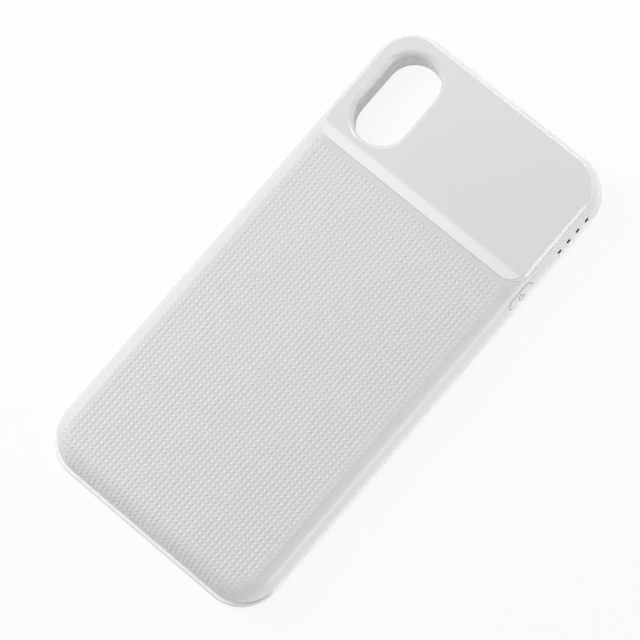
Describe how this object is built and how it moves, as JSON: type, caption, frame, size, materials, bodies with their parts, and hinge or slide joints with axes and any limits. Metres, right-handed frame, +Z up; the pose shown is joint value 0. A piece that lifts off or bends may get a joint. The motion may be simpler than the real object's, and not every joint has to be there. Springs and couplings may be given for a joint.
{
  "type": "wireless power bank",
  "caption": "Slim white wireless power bank with a pill-shaped camera cut-out, a smooth raised panel beside it, a studded back, a side button and a flat charging face.",
  "frame": {"origin": "centre of the outline on the flat charging face, which lies on the ground", "axes": "+X across, toward the side with the button and the charge lights; +Y along, toward the camera cut-out end; +Z up, out of the studded back"},
  "size_m": [0.071, 0.146, 0.0102],
  "materials": {
    "shell_plastic": "fine moulded satin, white",
    "panel_plastic": "smooth satin, white",
    "frame_plastic": "smooth white",
    "plate_plastic": "smooth white",
    "button_plastic": "smooth satin, white",
    "smoked_plastic": "smoked light guide, dark while unlit",
    "board_laminate": "green lacquer",
    "chip_black": "moulded black",
    "ceramic_part": "fired brown",
    "ferrite": "dark sintered",
    "copper": "lacquered copper wire",
    "socket_steel": "drawn and plated",
    "tongue_plastic": "moulded black",
    "screw_steel": "zinc plated",
    "diode_resin": "pale resin",
    "cell_foil": "dull laminated foil",
    "tape": "soft double-sided tape",
    "nickel": "nickel strip",
    "wire_red": "insulation",
    "wire_black": "insulation"
  },
  "bodies": {
    "bank": {"base_frame": "frame_plastic", "charge_plate": "plate_plastic", "back_shell": "shell_plastic", "camera_panel": "panel_plastic", "switch_body": "socket_steel", "light_guide": "smoked_plastic", "light_diode_1": "diode_resin", "light_diode_2": "diode_resin", "light_diode_3": "diode_resin", "light_diode_4": "diode_resin", "port_shell": "socket_steel", "port_tongue": "tongue_plastic", "main_board": "board_laminate", "driver_chip": "chip_black", "charge_chip": "chip_black", "control_chip": "chip_black", "power_inductor": "ferrite", "resonance_capacitors": "ceramic_part", "filter_capacitors": "ceramic_part", "battery_cell": "cell_foil", "cell_tape": "tape", "cell_board": "board_laminate", "cell_tabs": "nickel", "lead_positive": "wire_red", "lead_negative": "wire_black", "coil_winding": "copper", "ferrite_sheet": "ferrite", "coil_lead_inner": "copper", "coil_lead_outer": "copper", "frame_screws": "screw_steel", "board_screws": "screw_steel"},
    "button": {"power_button": "button_plastic", "switch_plunger": "tongue_plastic"}
  },
  "joints": [
    {"name": "button_press", "type": "slide", "parent": "bank", "child": "button", "axis": [-1, 0, 0], "range_m": [0, 0.00035], "stiffness_N_per_m": 2000, "springref_m": -0.0003}
  ]
}
